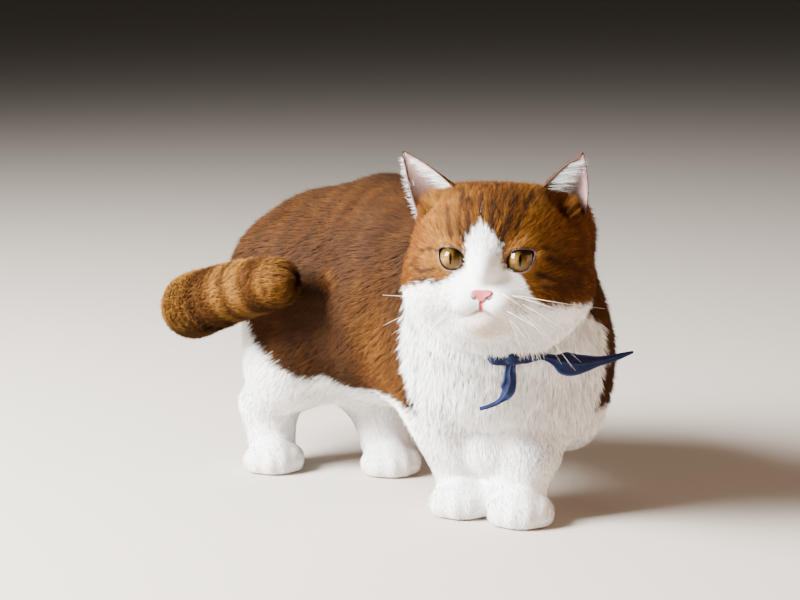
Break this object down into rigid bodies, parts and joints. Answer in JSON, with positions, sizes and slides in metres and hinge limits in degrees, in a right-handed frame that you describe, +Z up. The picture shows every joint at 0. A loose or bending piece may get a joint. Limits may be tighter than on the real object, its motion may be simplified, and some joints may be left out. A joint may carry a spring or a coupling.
{
  "type": "cat",
  "caption": "Life-size still model of a short-legged munchkin cat standing on all fours, head turned to its right, wearing a rolled blue kerchief.",
  "frame": {"origin": "on the floor under the paws, at the middle of the cat's length and width", "axes": "+Z up, the hindquarters face -Y, and the cat's left is +X"},
  "size_m": [0.1846, 0.3602, 0.2273],
  "materials": {
    "coat_orange": "short dense orange tabby fur",
    "coat_white": "short dense white fur",
    "ear": "thin furred ear, pink and nearly bare inside",
    "eye": "wet amber eye",
    "nose_leather": "smooth pink nose leather",
    "kerchief": "denim-blue woven cotton"
  },
  "bodies": {
    "root": {"head": "coat_orange", "torso": "coat_orange", "tail_base": "coat_orange", "tail_middle": "coat_orange", "tail_tip": "coat_orange", "neck": "coat_white", "leg_front_right": "coat_white", "leg_front_left": "coat_white", "leg_hind_right": "coat_white", "leg_hind_left": "coat_white", "ear_right": "ear", "ear_left": "ear", "eye_right": "eye", "eye_left": "eye", "nose": "nose_leather", "scarf_band": "kerchief", "scarf_knot": "kerchief", "scarf_end_hanging": "kerchief", "scarf_end_side": "kerchief"}
  },
  "joints": []
}
